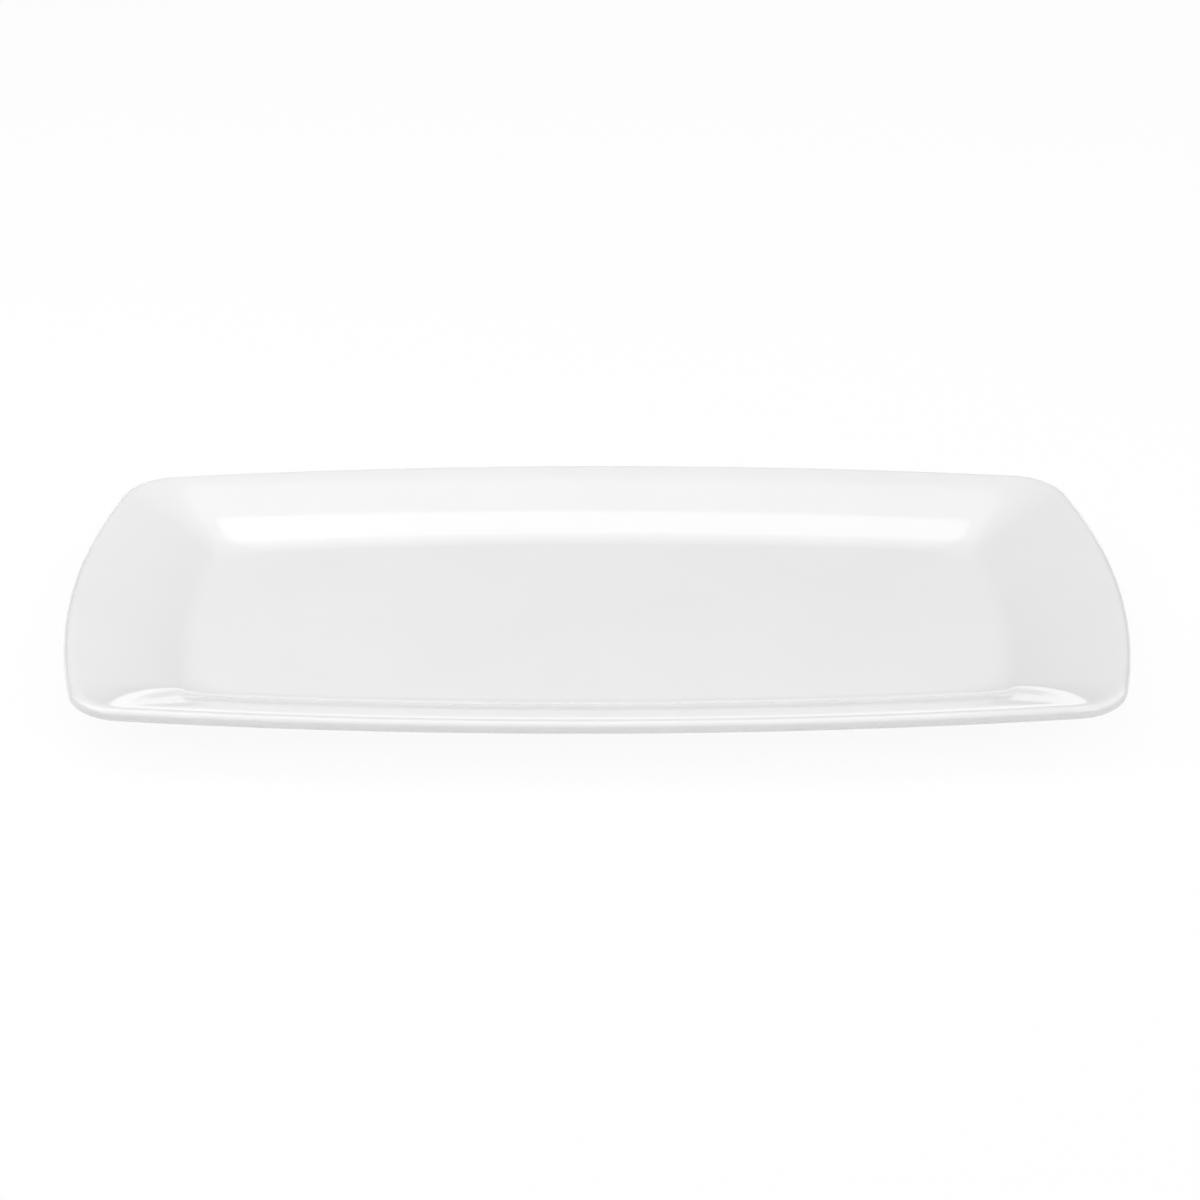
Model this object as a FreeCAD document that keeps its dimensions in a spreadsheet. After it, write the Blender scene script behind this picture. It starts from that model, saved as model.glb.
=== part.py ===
"""Porcelain serving platter: an oblong, barrel-sided dish, cast and fired in one piece.

The platter stands on its foot ring. The origin is at the middle of the ring's resting face,
+X runs along the length and +Z points up. Lengths are in millimetres, slopes in degrees.

Seen from above, every outline is a barrel-sided oblong of eight arcs: two long sides, two ends
and four corners. Seen in section, the wall rises from the flat floor through a hollow cove,
runs out over a flank that flattens towards the rim, and ends in a rounded lip. Its underside
follows at the wall's thickness and turns down into the foot ring. A loft through outlines at
stations of that section makes the underside, and another one sinks the well.
"""
import FreeCAD, Part
import math
import os
import Sketcher

SIZES = {
    # outline of the rim, seen from above
    "rim_length": 360.0,
    "rim_width": 191.0,
    "rim_side_radius": 1380.0,
    "rim_end_radius": 312.0,
    "rim_corner_radius": 19.5,
    # outline of the flat floor, whose length and width follow from the section
    "floor_side_radius": 1300.0,
    "floor_end_radius": 285.0,
    "floor_corner_radius": 18.0,
    # corners where the flank meets the cove, and on the outside of the foot ring
    "flank_corner_radius": 9.0,
    "foot_corner_radius": 12.0,
    # section of the wall, from the lip to the floor
    "wall_thickness": 4.4,
    "lip_edge_radius": 2.1,
    "lip_flat": 0.3,
    "lip_under_radius": 3.6,
    "crest_angle": 5.0,
    "lip_angle": 14.0,
    "flank_radius": 123.0,
    "flank_angle": 28.4,
    "cove_radius": 15.5,
    "end_flare": 6.2,
    # base and foot ring
    "base_thickness": 5.0,
    "foot_height": 3.0,
    "foot_blend_radius": 3.0,
    "foot_ring_width": 4.6,
    "foot_edge_bevel": 0.7,
}

# stations of the lofts along each arc of the section
COVE_STEPS = 8
FLANK_STEPS = 6
CROWN_STEPS = 2
BLEND_STEPS = 4
WIDEST_ROUND = 0.45


def make_sheet(doc):
    """Write the driving sizes to a spreadsheet, one alias for each."""
    sheet = doc.addObject("Spreadsheet::Sheet", "sizes")
    for row, (alias, value) in enumerate(SIZES.items(), start=1):
        sheet.set(f"A{row}", alias)
        sheet.set(f"B{row}", str(value))
        sheet.setAlias(f"B{row}", alias)
    doc.recompute()


def sine(angle):
    return f"sin({angle} * 1 deg)"


def cosine(angle):
    return f"cos({angle} * 1 deg)"


def blend(start, end, share):
    """A value that goes from start to end as share goes from 0 to 1."""
    return f"({start} + ({end} - {start}) * {share})"


def make_section(doc):
    """Work out the fixed points of the wall's section from the sizes.

    An inset is measured inwards from the rim's outer edge at the middle of a long side, and a
    height upwards from the resting face.
    """
    section = doc.addObject("App::VarSet", "section")
    crest, lip, flank = "sizes.crest_angle", "sizes.lip_angle", "sizes.flank_angle"
    formulas = {
        "crown_radius": "sizes.lip_under_radius + sizes.wall_thickness",
        "crown_inset": f"sizes.lip_edge_radius + sizes.lip_flat - section.crown_radius * {sine(crest)}",
        "flank_inset": f"section.crown_inset + (section.crown_radius - sizes.flank_radius) * {sine(lip)}",
        "cove_inset": f"section.flank_inset + (sizes.flank_radius + sizes.cove_radius) * {sine(flank)}",
        "floor_height": "sizes.foot_height + sizes.base_thickness",
        "cove_height": "section.floor_height + sizes.cove_radius",
        "flank_height": f"section.cove_height - (sizes.flank_radius + sizes.cove_radius) * {cosine(flank)}",
        "crown_height": f"section.flank_height + (sizes.flank_radius - section.crown_radius) * {cosine(lip)}",
        "crest_height": f"section.crown_height + section.crown_radius * {cosine(crest)}",
        "blend_reach": "sizes.flank_radius - sizes.wall_thickness - sizes.foot_blend_radius",
        "blend_inset": f"section.flank_inset + section.blend_reach * {sine(flank)}",
        "blend_height": f"section.flank_height + section.blend_reach * {cosine(flank)}",
        "foot_inset": "section.blend_inset + sizes.foot_blend_radius",
        "flank_foot_inset": f"section.cove_inset - sizes.cove_radius * {sine(flank)}",
        "end_stretch": "1 + sizes.end_flare / section.cove_inset",
    }
    for name, formula in formulas.items():
        section.addProperty("App::PropertyFloat", name, "Section")
        section.setExpression(name, formula)
    doc.recompute()


def arc_station(arc, radius, slope):
    """Inset and height of the point of one of the section's arcs where the wall has a slope."""
    inset = f"(section.{arc}_inset + {radius} * {sine(slope)})"
    height = f"(section.{arc}_height + {radius} * {cosine(slope)})"
    return inset, height


def flank_corner(inset):
    """Corner radius on either side of the flank, which tightens from the rim inwards."""
    share = f"{inset} / section.flank_foot_inset"
    return blend("sizes.rim_corner_radius", "sizes.flank_corner_radius", share)


def flank_stations(thickness, under):
    """Stations of one side of the flank and of its crown, from its foot up to the lip."""
    crest, lip, flank = "sizes.crest_angle", "sizes.lip_angle", "sizes.flank_angle"
    for step in range(FLANK_STEPS):
        slope = blend(flank, lip, step / FLANK_STEPS)
        inset, height = arc_station("flank", f"(sizes.flank_radius - {thickness})", slope)
        yield inset, height, flank_corner(inset)
    for step in range(CROWN_STEPS + 1):
        slope = blend(lip, crest, step / CROWN_STEPS)
        inset, height = arc_station("crown", under, slope)
        yield inset, height, flank_corner(inset)
    # straight on up, so that the loft runs well into the lip or out through its crest
    yield inset, f"({height} + sizes.wall_thickness / 2)", flank_corner(inset)


def well_stations():
    """Stations of the food side, from the edge of the floor up to the crest of the lip."""
    for step in range(COVE_STEPS):
        share = step / COVE_STEPS
        inset, height = arc_station("cove", "-sizes.cove_radius", blend("0", "sizes.flank_angle", share))
        yield inset, height, blend("sizes.floor_corner_radius", "sizes.flank_corner_radius", share)
    yield from flank_stations("0", "section.crown_radius")


def underside_stations():
    """Stations of the underside, from the top of the foot ring up to the bottom of the lip."""
    for step in range(BLEND_STEPS):
        share = step / BLEND_STEPS
        slope = blend("90", "sizes.flank_angle", share)
        inset, height = arc_station("blend", "sizes.foot_blend_radius", slope)
        yield inset, height, blend("sizes.foot_corner_radius", flank_corner(inset), share)
    yield from flank_stations("sizes.wall_thickness", "sizes.lip_under_radius")


def outline_sizes(inset, corner):
    """Expressions for the outline that lies a given inset inside the rim."""
    share = f"{inset} / section.cove_inset"
    return {
        "half_length": f"(sizes.rim_length / 2 - {inset} * section.end_stretch)",
        "half_width": f"(sizes.rim_width / 2 - {inset})",
        "side_radius": blend("sizes.rim_side_radius", "sizes.floor_side_radius", share),
        "end_radius": blend("sizes.rim_end_radius", "sizes.floor_end_radius", share),
        "corner_radius": corner,
    }


def corner_centre(half_length, half_width, side_radius, end_radius, corner_radius):
    """Centre of the corner arc that touches the side and end arcs from inside."""
    side = FreeCAD.Vector(0, half_width - side_radius)
    end = FreeCAD.Vector(half_length - end_radius, 0)
    side_reach = side_radius - corner_radius
    end_reach = end_radius - corner_radius
    apart = end - side
    along = (side_reach**2 - end_reach**2 + apart.Length**2) / (2 * apart.Length)
    across = math.sqrt(side_reach**2 - along**2)
    apart.normalize()
    return side + apart * along + FreeCAD.Vector(apart.y, -apart.x) * across


def outline_arcs(size):
    """The eight arcs anticlockwise from the right-hand end: kind, centre and sweep of each."""
    corner = corner_centre(**size)
    side = size["half_width"] - size["side_radius"]
    end = size["half_length"] - size["end_radius"]
    side_turn = math.atan2(corner.y - side, corner.x)
    end_turn = math.atan2(corner.y, corner.x - end)
    arcs = []
    for sign, turned in ((1, 0), (-1, math.pi)):
        right = (sign * corner.x, sign * corner.y)
        left = (-sign * corner.x, sign * corner.y)
        arcs += [
            ("end", (sign * end, 0), turned - end_turn, turned + end_turn),
            ("corner", right, turned + end_turn, turned + side_turn),
            ("side", (0, sign * side), turned + side_turn, turned + math.pi - side_turn),
            ("corner", left, turned + math.pi - side_turn, turned + math.pi - end_turn),
        ]
    return arcs


def draw_outline(sketch, inset, corner):
    """Draw a closed outline and tie its radii and its crowns to the sizes.

    In a constraint, the X axis is geometry -1, the Y axis geometry -2, and the start, end and
    centre of an arc are its points 1, 2 and 3. Point 1 of the X axis is the origin.
    """
    formulas = outline_sizes(inset, corner)
    size = {name: float(sketch.evalExpression(formula)) for name, formula in formulas.items()}
    arcs = outline_arcs(size)
    for kind, centre, start, end in arcs:
        circle = Part.Circle(FreeCAD.Vector(*centre), FreeCAD.Vector(0, 0, 1), size[f"{kind}_radius"])
        sketch.addGeometry(Part.ArcOfCircle(circle, start, end))
    for number, (kind, _, _, _) in enumerate(arcs):
        following = (number + 1) % len(arcs)
        sketch.addConstraint(Sketcher.Constraint("Tangent", number, 2, following, 1))
        radius = sketch.addConstraint(Sketcher.Constraint("Radius", number, size[f"{kind}_radius"]))
        sketch.setExpression(f"Constraints[{radius}]", formulas[f"{kind}_radius"])
    # an end or a side is centred on an axis, its radius behind its crown
    for number, axis, direction, crown, sign in (
        (0, -1, "DistanceX", "half_length", 1),
        (2, -2, "DistanceY", "half_width", 1),
        (4, -1, "DistanceX", "half_length", -1),
        (6, -2, "DistanceY", "half_width", -1),
    ):
        radius = f"{arcs[number][0]}_radius"
        place = sign * (size[crown] - size[radius])
        sketch.addConstraint(Sketcher.Constraint("PointOnObject", number, 3, axis))
        distance = sketch.addConstraint(Sketcher.Constraint(direction, -1, 1, number, 3, place))
        sketch.setExpression(
            f"Constraints[{distance}]", f"{sign} * ({formulas[crown]} - {formulas[radius]})"
        )


def add_outline(body, name, inset, height, corner):
    """Add a level sketch of the outline at an inset and a height of the section."""
    sketch = body.newObject("Sketcher::SketchObject", name)
    level = next(plane for plane in body.Origin.OriginFeatures if plane.Role == "XY_Plane")
    sketch.AttachmentSupport = [(level, "")]
    sketch.MapMode = "FlatFace"
    sketch.setExpression("AttachmentOffset.Base.z", height)
    draw_outline(sketch, inset, corner)
    return sketch


def add_loft(body, kind, name, stations):
    """Loft from each station's outline straight to the next, to add or to cut away."""
    outlines = [
        add_outline(body, f"{name}_outline_{number}", *station)
        for number, station in enumerate(stations)
    ]
    loft = body.newObject(f"PartDesign::{kind}", name)
    loft.Profile = outlines[0]
    loft.Sections = outlines[1:]
    loft.Ruled = True
    body.Document.recompute()
    return loft


def add_pad(body, name, outline, length):
    pad = body.newObject("PartDesign::Pad", name)
    pad.Profile = outline
    pad.setExpression("Length", length)
    body.Document.recompute()
    return pad


def level_edges(feature, height):
    """Names of the feature's edges that lie level at a height."""
    names = []
    for number, edge in enumerate(feature.Shape.Edges, start=1):
        box = edge.BoundBox
        if abs(box.ZMin - height) < 1e-4 and abs(box.ZMax - height) < 1e-4:
            names.append(f"Edge{number}")
    return names


def add_fillet(body, name, base, heights, radius):
    """Round the level edges of the base at the given heights."""
    fillet = body.newObject("PartDesign::Fillet", name)
    fillet.Base = (base, [edge for height in heights for edge in level_edges(base, height)])
    fillet.setExpression("Radius", radius)
    body.Document.recompute()
    return fillet


def check_change(before, after, sign):
    """Stop if a feature has not added to the body, or for sign -1 not taken from it."""
    if sign * (after.Shape.Volume - before.Shape.Volume) < 0.05 * before.Shape.Volume:
        raise RuntimeError(f"{after.Name} leaves the body as it was")


def make_platter(doc):
    """Build the platter: lip, underside, foot ring with its recess, and the well."""
    body = doc.addObject("PartDesign::Body", "platter")
    body.Label = "platter"
    section = doc.getObject("section")
    sheet = doc.getObject("sizes")

    lip_height = "section.crest_height - sizes.wall_thickness"
    lip_outline = add_outline(body, "lip_outline", "0", lip_height, "sizes.rim_corner_radius")
    lip = add_pad(body, "lip", lip_outline, "sizes.wall_thickness")
    lip_levels = (section.crest_height - sheet.wall_thickness, section.crest_height)
    rounding = add_fillet(
        body, "lip_rounding", lip, lip_levels,
        f"min(sizes.lip_edge_radius; sizes.wall_thickness * {WIDEST_ROUND})",
    )
    underside = add_loft(body, "AdditiveLoft", "underside", underside_stations())
    check_change(rounding, underside, 1)

    foot_corner = "sizes.foot_corner_radius"
    foot_outline = add_outline(body, "foot_outline", "section.foot_inset", "0", foot_corner)
    foot = add_pad(body, "foot", foot_outline, "section.blend_height")
    recess_inset = "(section.foot_inset + sizes.foot_ring_width)"
    recess_corner = "(sizes.foot_corner_radius - sizes.foot_ring_width)"
    recess_outline = add_outline(body, "recess_outline", recess_inset, "0", recess_corner)
    recess = body.newObject("PartDesign::Pocket", "recess")
    recess.Profile = recess_outline
    recess.Reversed = True
    recess.setExpression("Length", "sizes.foot_height")
    doc.recompute()
    check_change(foot, recess, -1)
    bevel = body.newObject("PartDesign::Chamfer", "foot_bevel")
    bevel.Base = (recess, level_edges(recess, 0.0))
    bevel.setExpression(
        "Size",
        f"min(sizes.foot_edge_bevel; {WIDEST_ROUND} * min(sizes.foot_ring_width; sizes.foot_height))",
    )
    doc.recompute()

    well = add_loft(body, "SubtractiveLoft", "well", well_stations())
    check_change(bevel, well, -1)
    return body


document = FreeCAD.newDocument("serving_platter")
make_sheet(document)
make_section(document)
platter = make_platter(document)
document.recompute()

for item in document.Objects:
    if "Invalid" in item.State or "Error" in item.State:
        raise RuntimeError(f"{item.Name} could not be built: {item.State}")
if platter.Shape.isNull() or not platter.Shape.isValid():
    raise RuntimeError("the platter is not a valid solid")

os.makedirs("parts", exist_ok=True)
platter.Shape.exportStep(f"parts/{platter.Label}.step")
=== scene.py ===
"""Looks of the china serving platter: glazed body, ground, soft light and camera."""
import bpy
import math
from mathutils import Matrix, Vector


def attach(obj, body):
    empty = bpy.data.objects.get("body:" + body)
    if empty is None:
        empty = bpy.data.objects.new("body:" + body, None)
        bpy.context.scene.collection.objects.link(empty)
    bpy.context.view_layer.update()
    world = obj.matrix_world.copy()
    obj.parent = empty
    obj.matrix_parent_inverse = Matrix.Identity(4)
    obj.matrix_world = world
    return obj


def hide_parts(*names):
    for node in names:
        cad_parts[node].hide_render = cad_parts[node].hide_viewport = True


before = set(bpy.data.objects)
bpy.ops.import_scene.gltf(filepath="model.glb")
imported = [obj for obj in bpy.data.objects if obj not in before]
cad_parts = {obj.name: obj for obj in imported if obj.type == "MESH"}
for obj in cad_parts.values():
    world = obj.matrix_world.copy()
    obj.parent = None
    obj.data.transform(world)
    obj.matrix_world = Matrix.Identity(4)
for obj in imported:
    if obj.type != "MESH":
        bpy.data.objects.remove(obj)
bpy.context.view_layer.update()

MM = 0.001

# ---- form of the platter, in millimetres and degrees, the same as the solid's -----------------

# Outlines seen from above: overall size, and the radii of the long sides, ends and corners.
RIM = {"length": 360.0, "width": 191.0, "side": 1380.0, "end": 312.0, "corner": 19.5}
FLOOR = {"side": 1300.0, "end": 285.0, "corner": 18.0}
FLANK_CORNER = 9.0  # corner radius where the flank meets the cove
FOOT_CORNER = 12.0  # corner radius round the outside of the foot ring
END_FLARE = 6.2  # how much wider the flank is at the two ends than along the sides

# Section of the wall. A slope is how steeply the top falls towards the middle, in degrees.
WALL = 4.4  # thickness of the lip and the wall
LIP_EDGE = 2.1  # radius round the lip's outer edge
LIP_FLAT = 0.3  # level strip on the crest, inside that edge
LIP_UNDER = 3.6  # radius of the lip's underside
CREST_SLOPE = 5.0  # where the crest begins to round over from that strip
LIP_SLOPE = 14.0  # where the lip meets the flank
FLANK_RADIUS = 123.0
FLANK_SLOPE = 28.4  # where the flank meets the cove
COVE_RADIUS = 15.5
BASE = 5.0
FOOT_HEIGHT = 3.0
FOOT_WIDTH = 4.6
FOOT_BLEND = 3.0  # radius between the wall's underside and the foot
FOOT_EDGE = 0.7  # radius of the foot's edges and of the recess's

# Fineness of the mesh: steps in each arc of the section, and in a quarter of an outline.
COVE_STEPS = 18
FLANK_STEPS = 14
CREST_STEPS = 6
EDGE_STEPS = 14
UNDER_LIP_STEPS = 4
UNDER_FLANK_STEPS = 12
BLEND_STEPS = 8
FOOT_STEPS = 5
CLOSEST = 0.02  # a point that is nearer than this to the one before is left out
OUTLINE_STEPS = {"end": 22, "corner": 20, "side": 34}
FLAT_RINGS = (0.985, 0.95, 0.88, 0.76, 0.6, 0.4, 0.2)  # in the flat parts, as shares of their size


def sin(degrees):
    return math.sin(math.radians(degrees))


def cos(degrees):
    return math.cos(math.radians(degrees))


def mix(start, end, share):
    return start + (end - start) * share


# ---- section of the wall: centres of the arcs, as inset from the rim and height ---------------

crest_radius = LIP_UNDER + WALL
crest_inset = LIP_EDGE + LIP_FLAT - crest_radius * sin(CREST_SLOPE)
flank_inset = crest_inset + (crest_radius - FLANK_RADIUS) * sin(LIP_SLOPE)
cove_inset = flank_inset + (FLANK_RADIUS + COVE_RADIUS) * sin(FLANK_SLOPE)
floor_height = FOOT_HEIGHT + BASE
cove_height = floor_height + COVE_RADIUS
flank_height = cove_height - (FLANK_RADIUS + COVE_RADIUS) * cos(FLANK_SLOPE)
crest_height = flank_height + (FLANK_RADIUS - crest_radius) * cos(LIP_SLOPE)
rim_height = crest_height + crest_radius * cos(CREST_SLOPE)
blend_reach = FLANK_RADIUS - WALL - FOOT_BLEND
blend_inset = flank_inset + blend_reach * sin(FLANK_SLOPE)
blend_height = flank_height + blend_reach * cos(FLANK_SLOPE)

# Insets where the flank ends and where the foot's two sides stand.
flank_end_inset = cove_inset - COVE_RADIUS * sin(FLANK_SLOPE)
foot_inset = blend_inset + FOOT_BLEND
recess_inset = foot_inset + FOOT_WIDTH


# Each of these gives an outline's corner radius, from its inset and its share of the section arc.


def flank_corner(inset, share):
    return mix(RIM["corner"], FLANK_CORNER, inset / flank_end_inset)


def cove_corner(inset, share):
    return mix(FLOOR["corner"], FLANK_CORNER, share)


def blend_corner(inset, share):
    return mix(flank_corner(inset, share), FOOT_CORNER, share)


def foot_corner(inset, share):
    return FOOT_CORNER + foot_inset - inset


def arc(inset, height, radius, first, last, steps, corner=flank_corner):
    """Points of a section arc round a centre, from one slope to another.

    Each is an inset, a height and the corner radius of its outline. A negative radius makes a
    hollow arc below its centre.
    """
    for step in range(steps + 1):
        share = step / steps
        slope = mix(first, last, share)
        place = inset + radius * sin(slope)
        yield place, height + radius * cos(slope), corner(place, share)


def section():
    """The whole section, from the edge of the floor over the lip to the recess under the base."""
    edge_top = rim_height - LIP_EDGE
    edge_bottom = rim_height - WALL + LIP_EDGE
    foot_outside = foot_inset + FOOT_EDGE
    foot_inside = recess_inset - FOOT_EDGE
    recess_edge = recess_inset + FOOT_EDGE
    recess_top = FOOT_HEIGHT - FOOT_EDGE
    under = FLANK_RADIUS - WALL
    points = [
        *arc(cove_inset, cove_height, -COVE_RADIUS, 0, FLANK_SLOPE, COVE_STEPS, cove_corner),
        *arc(flank_inset, flank_height, FLANK_RADIUS, FLANK_SLOPE, LIP_SLOPE, FLANK_STEPS),
        *arc(crest_inset, crest_height, crest_radius, LIP_SLOPE, CREST_SLOPE, CREST_STEPS),
        *arc(LIP_EDGE, edge_top, LIP_EDGE, 0, -90, EDGE_STEPS),
        *arc(LIP_EDGE, edge_bottom, LIP_EDGE, -90, -180, EDGE_STEPS),
        *arc(crest_inset, crest_height, LIP_UNDER, CREST_SLOPE, LIP_SLOPE, UNDER_LIP_STEPS),
        *arc(flank_inset, flank_height, under, LIP_SLOPE, FLANK_SLOPE, UNDER_FLANK_STEPS),
        *arc(blend_inset, blend_height, FOOT_BLEND, FLANK_SLOPE, 90, BLEND_STEPS, blend_corner),
        *arc(foot_outside, FOOT_EDGE, FOOT_EDGE, -90, -180, FOOT_STEPS, foot_corner),
        *arc(foot_inside, FOOT_EDGE, -FOOT_EDGE, 0, -90, FOOT_STEPS, foot_corner),
        *arc(recess_edge, recess_top, FOOT_EDGE, -90, 0, FOOT_STEPS, foot_corner),
    ]
    kept = [points[0]]
    for point in points[1:]:
        if math.dist(point[:2], kept[-1][:2]) > CLOSEST:
            kept.append(point)
    return kept


# ---- outlines seen from above ----------------------------------------------------------------

END_STRETCH = 1 + END_FLARE / cove_inset


def outline(inset, corner):
    """Points of the barrel-sided outline that lies an inset inside the rim.

    A side, a corner and an end are tangent arcs. So the corner's centre is where a circle about
    the side's centre crosses one about the end's, each smaller by the corner's radius.
    """
    share = inset / cove_inset
    length = RIM["length"] / 2 - inset * END_STRETCH
    width = RIM["width"] / 2 - inset
    side = mix(RIM["side"], FLOOR["side"], share)
    end = mix(RIM["end"], FLOOR["end"], share)
    side_centre = Vector((0, width - side))
    end_centre = Vector((length - end, 0))
    apart = end_centre - side_centre
    side_reach = side - corner
    end_reach = end - corner
    along = (side_reach**2 - end_reach**2 + apart.length_squared) / (2 * apart.length)
    across = math.sqrt(side_reach**2 - along**2)
    apart.normalize()
    corner_centre = side_centre + apart * along - Vector((-apart.y, apart.x)) * across
    side_turn = math.atan2(corner_centre.y - side_centre.y, corner_centre.x)
    end_turn = math.atan2(corner_centre.y, corner_centre.x - end_centre.x)
    quarter = []
    for middle, radius, first, last, count in (
        (end_centre, end, 0.0, end_turn, OUTLINE_STEPS["end"]),
        (corner_centre, corner, end_turn, side_turn, OUTLINE_STEPS["corner"]),
        (side_centre, side, side_turn, math.pi / 2, OUTLINE_STEPS["side"]),
    ):
        for step in range(count):
            turn = first + (last - first) * step / count
            x = middle.x + radius * math.cos(turn)
            y = middle.y + radius * math.sin(turn)
            quarter.append((x, y))
    half = quarter + [(0.0, width)] + [(-x, y) for x, y in reversed(quarter)]
    return half[:-1] + [(-x, -y) for x, y in half[:-1]]


def shrunk(ring, share):
    """A smaller ring inside a flat part, at the same height as its edge."""
    points, height = ring
    return [(x * share, y * share) for x, y in points], height


# ---- mesh ------------------------------------------------------------------------------------


def platter_mesh():
    """A closed skin: a row of faces between each ring and the next, and a fan in each middle."""
    walls = [(outline(inset, corner), height) for inset, height, corner in section()]
    inner_floor = [shrunk(walls[0], share) for share in reversed(FLAT_RINGS)]
    inner_recess = [shrunk(walls[-1], share) for share in FLAT_RINGS]
    rings = inner_floor + walls + inner_recess
    verts = [(x * MM, y * MM, height * MM) for ring, height in rings for x, y in ring]
    around = len(rings[0][0])
    faces = []
    for row in range(len(rings) - 1):
        for spot in range(around):
            here = row * around + spot
            beside = row * around + (spot + 1) % around
            faces.append((here, here + around, beside + around, beside))
    floor_middle = len(verts)
    verts.append((0.0, 0.0, floor_height * MM))
    recess_middle = len(verts)
    verts.append((0.0, 0.0, FOOT_HEIGHT * MM))
    last_row = (len(rings) - 1) * around
    for spot in range(around):
        following = (spot + 1) % around
        faces.append((floor_middle, spot, following))
        faces.append((recess_middle, last_row + following, last_row + spot))
    mesh = bpy.data.meshes.new("platter_china")
    mesh.from_pydata(verts, [], faces)
    mesh.validate()
    mesh.polygons.foreach_set("use_smooth", [True] * len(mesh.polygons))
    mesh.update()
    return mesh


# ---- materials -------------------------------------------------------------------------------

GLAZE = (0.82, 0.82, 0.82, 1)
GLAZE_THIN = (0.832, 0.832, 0.832, 1)  # where the glaze lies thinner
BISQUE = (0.70, 0.68, 0.64, 1)  # the bare resting face of the foot ring
GLAZE_IOR = 1.5
GLAZE_ROUGHNESS = (0.055, 0.075)
BISQUE_ROUGHNESS = 0.75
BARE_HEIGHT = (0.0005, 0.0009)  # metres above the table over which the glaze begins
POOL_RANGE = (0.3, 0.7)  # span of the pooling noise over which the glaze changes

# Noises, as scale per metre and detail, and how far each lifts the surface, in metres.
POOL_NOISE = (26.0, 2.0)
PEEL_NOISE = (140.0, 1.0)
GRIT_NOISE = (2600.0, 3.0)
POOL_LIFT = 0.00002
PEEL_LIFT = 0.000003
GRIT_LIFT = 0.00006

WHITE = (1, 1, 1, 1)
PAPER = (0.9, 0.9, 0.9, 1)
PAPER_GLOW = 0.93  # share of plain white where the ground is seen or mirrored


def node(tree, kind, **settings):
    made = tree.nodes.new(kind)
    for key, value in settings.items():
        setattr(made, key, value)
    return made


def ramp(tree, source, span, result):
    """Map a value from one range to another, clamped."""
    made = node(tree, "ShaderNodeMapRange")
    tree.links.new(source, made.inputs["Value"])
    for name, value in zip(("From Min", "From Max", "To Min", "To Max"), (*span, *result)):
        made.inputs[name].default_value = value
    return made.outputs["Result"]


def mix_node(tree, kind, share, first, second):
    """A Mix node. Each of the two values is an output of another node or a plain value."""
    made = node(tree, "ShaderNodeMix", data_type=kind)
    tree.links.new(share, made.inputs["Factor"])
    for name, value in (("A", first), ("B", second)):
        if isinstance(value, bpy.types.NodeSocket):
            tree.links.new(value, made.inputs[name])
        else:
            made.inputs[name].default_value = value
    return made.outputs["Result"]


def noise(tree, place, scale, detail):
    made = node(tree, "ShaderNodeTexNoise")
    made.inputs["Scale"].default_value = scale
    made.inputs["Detail"].default_value = detail
    tree.links.new(place, made.inputs["Vector"])
    return made.outputs["Fac"]


def bump(tree, height, distance, before=None):
    made = node(tree, "ShaderNodeBump")
    made.inputs["Strength"].default_value = 1.0
    made.inputs["Distance"].default_value = distance
    tree.links.new(height, made.inputs["Height"])
    if before is not None:
        tree.links.new(before, made.inputs["Normal"])
    return made.outputs["Normal"]


def glazed_china():
    """White glaze that varies a little in shade and gloss, and bare bisque under the foot."""
    glaze = bpy.data.materials.new("glazed_china")
    glaze.use_nodes = True
    tree = glaze.node_tree
    shader = tree.nodes["Principled BSDF"]
    shader.inputs["IOR"].default_value = GLAZE_IOR
    place = node(tree, "ShaderNodeTexCoord").outputs["Object"]
    axes = node(tree, "ShaderNodeSeparateXYZ")
    tree.links.new(place, axes.inputs["Vector"])
    bare = ramp(tree, axes.outputs["Z"], BARE_HEIGHT, (1.0, 0.0))
    pooled = noise(tree, place, *POOL_NOISE)
    peel = noise(tree, place, *PEEL_NOISE)
    grit = noise(tree, place, *GRIT_NOISE)

    tint = mix_node(tree, "RGBA", ramp(tree, pooled, POOL_RANGE, (0.0, 1.0)), GLAZE, GLAZE_THIN)
    tree.links.new(mix_node(tree, "RGBA", bare, tint, BISQUE), shader.inputs["Base Color"])
    sheen = ramp(tree, pooled, POOL_RANGE, GLAZE_ROUGHNESS)
    roughness = mix_node(tree, "FLOAT", bare, sheen, BISQUE_ROUGHNESS)
    tree.links.new(roughness, shader.inputs["Roughness"])

    grain = node(tree, "ShaderNodeMath", operation="MULTIPLY")
    tree.links.new(grit, grain.inputs[0])
    tree.links.new(bare, grain.inputs[1])
    waves = bump(tree, pooled, POOL_LIFT)
    skin = bump(tree, peel, PEEL_LIFT, waves)
    surface = bump(tree, grain.outputs["Value"], GRIT_LIFT, skin)
    tree.links.new(surface, shader.inputs["Normal"])
    return glaze


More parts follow.
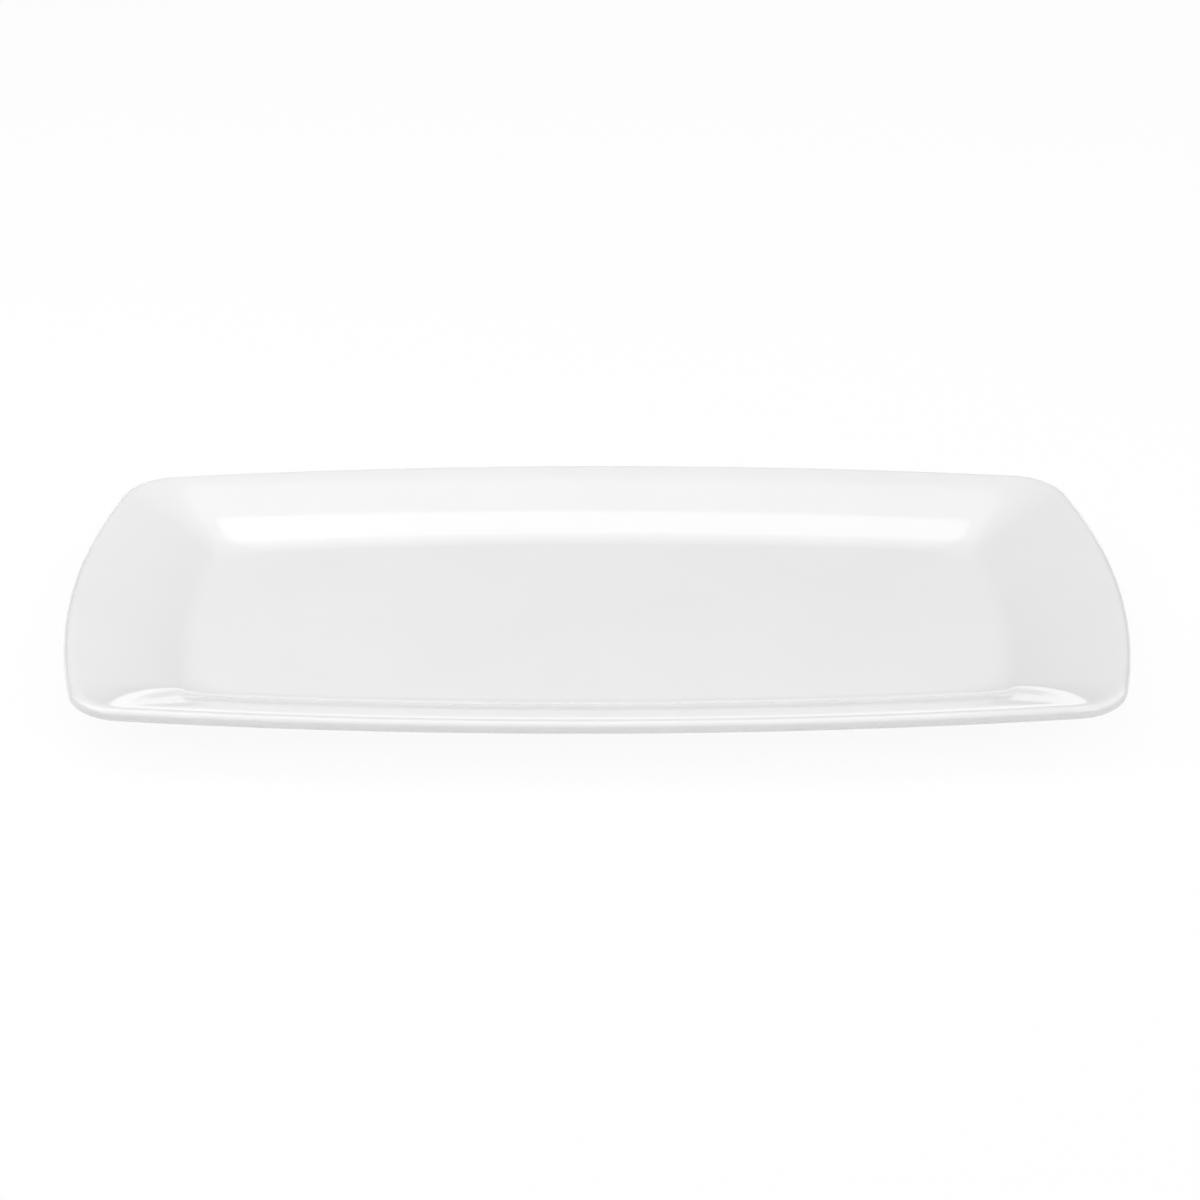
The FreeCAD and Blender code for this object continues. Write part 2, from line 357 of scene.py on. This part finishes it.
def white_paper():
    """Pale ground that takes the shadow, and is close to plain white where it is seen."""
    paper = bpy.data.materials.new("white_paper")
    paper.use_nodes = True
    tree = paper.node_tree
    tree.nodes.clear()
    lit = node(tree, "ShaderNodeBsdfDiffuse")
    lit.inputs["Color"].default_value = PAPER
    plain = node(tree, "ShaderNodeEmission")
    plain.inputs["Color"].default_value = WHITE
    plain.inputs["Strength"].default_value = 1.0
    path = node(tree, "ShaderNodeLightPath")
    seen = path.outputs["Is Camera Ray"]
    for name in ("Is Glossy Ray", "Is Transmission Ray"):
        either = node(tree, "ShaderNodeMath", operation="MAXIMUM")
        tree.links.new(seen, either.inputs[0])
        tree.links.new(path.outputs[name], either.inputs[1])
        seen = either.outputs["Value"]
    both = node(tree, "ShaderNodeMixShader")
    tree.links.new(ramp(tree, seen, (0.0, 1.0), (0.0, PAPER_GLOW)), both.inputs["Fac"])
    tree.links.new(lit.outputs["BSDF"], both.inputs[1])
    tree.links.new(plain.outputs["Emission"], both.inputs[2])
    target = node(tree, "ShaderNodeOutputMaterial")
    tree.links.new(both.outputs["Shader"], target.inputs["Surface"])
    return paper


# ---- platter ---------------------------------------------------------------------------------

china = bpy.data.objects.new("platter_china", platter_mesh())
bpy.context.scene.collection.objects.link(china)
china.data.materials.append(glazed_china())
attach(china, "root")
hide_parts("platter")

# ---- camera ----------------------------------------------------------------------------------

LOOK_DOWN = 28.0
YAW = -0.72
ROLL = 0.22
DISTANCE = 2.995  # this and the two shifts are in lengths of the platter
SHIFT_RIGHT = -0.0030
SHIFT_UP = 0.0098
SENSOR = 36.0
FOCAL_LENGTH = 2.6125  # in widths of the picture
NEAREST = 0.05  # metres
FARTHEST = 20.0

back = Vector((sin(YAW) * cos(LOOK_DOWN), -cos(YAW) * cos(LOOK_DOWN), sin(LOOK_DOWN)))
level_right = Vector((cos(YAW), sin(YAW), 0))
level_up = back.cross(level_right)
right = level_right * cos(ROLL) + level_up * sin(ROLL)
up = level_up * cos(ROLL) - level_right * sin(ROLL)
aim = Vector((0, 0, (rim_height - WALL / 2) * MM))
place = aim + RIM["length"] * MM * (back * DISTANCE - right * SHIFT_RIGHT - up * SHIFT_UP)
lens = bpy.data.cameras.new("camera")
lens.sensor_width = SENSOR
lens.lens = FOCAL_LENGTH * SENSOR
lens.clip_start = NEAREST
lens.clip_end = FARTHEST
camera = bpy.data.objects.new("camera", lens)
camera.matrix_world = Matrix.Translation(place) @ Matrix((right, up, back)).transposed().to_4x4()
bpy.context.scene.collection.objects.link(camera)
bpy.context.scene.camera = camera

# ---- ground ----------------------------------------------------------------------------------

GROUND_REACH = 6.0  # metres from the middle to each side
GROUND_CORNERS = ((-1, -1), (1, -1), (1, 1), (-1, 1))

ground_mesh = bpy.data.meshes.new("ground")
ground_mesh.from_pydata(
    [(x * GROUND_REACH, y * GROUND_REACH, 0) for x, y in GROUND_CORNERS], [], [(0, 1, 2, 3)]
)
ground_mesh.materials.append(white_paper())
ground = bpy.data.objects.new("ground", ground_mesh)
bpy.context.scene.collection.objects.link(ground)

# ---- light -----------------------------------------------------------------------------------

WORLD_STRENGTH = 0.08


def softbox(name, pitch, roll, high, wide, strength, distance=1.6):
    """A rectangular lamp that faces the platter.

    Pitch goes from 0 at the back horizon over 90 overhead to 180 in front, and roll leans it to
    the right. High and wide are the angles that it fills, strength is how bright it looks, and
    distance is in metres.
    """
    lamp = bpy.data.lights.new(name, "AREA")
    lamp.shape = "RECTANGLE"
    lamp.size = 2 * distance * math.tan(math.radians(wide / 2))
    lamp.size_y = 2 * distance * math.tan(math.radians(high / 2))
    lamp.energy = strength * math.pi * lamp.size * lamp.size_y
    towards = Vector((sin(roll), cos(roll) * cos(pitch), cos(roll) * sin(pitch)))
    beside = Vector((cos(roll), -sin(roll) * cos(pitch), -sin(roll) * sin(pitch)))
    axes = Matrix((beside, towards.cross(beside), towards)).transposed()
    box = bpy.data.objects.new(name, lamp)
    box.matrix_world = Matrix.Translation(towards * distance) @ axes.to_4x4()
    bpy.context.scene.collection.objects.link(box)


softbox("overhead", pitch=86, roll=-20, high=31, wide=73, strength=1.72, distance=1.0)
softbox("overhead_wide", pitch=80, roll=-16, high=50, wide=84, strength=0.7, distance=1.1)
softbox("overhead_front", pitch=131, roll=0, high=38, wide=90, strength=1.45, distance=2.2)
softbox("right", pitch=85, roll=50, high=76, wide=36, strength=1.2)
softbox("left", pitch=80, roll=-65, high=50, wide=30, strength=0.4)
softbox("back_floor", pitch=5, roll=0, high=9, wide=60, strength=1.2)

world = bpy.data.worlds.new("studio")
world.use_nodes = True
background = world.node_tree.nodes["Background"]
background.inputs["Strength"].default_value = WORLD_STRENGTH
background.inputs["Color"].default_value = WHITE
bpy.context.scene.world = world
bpy.context.scene.view_settings.view_transform = "Standard"
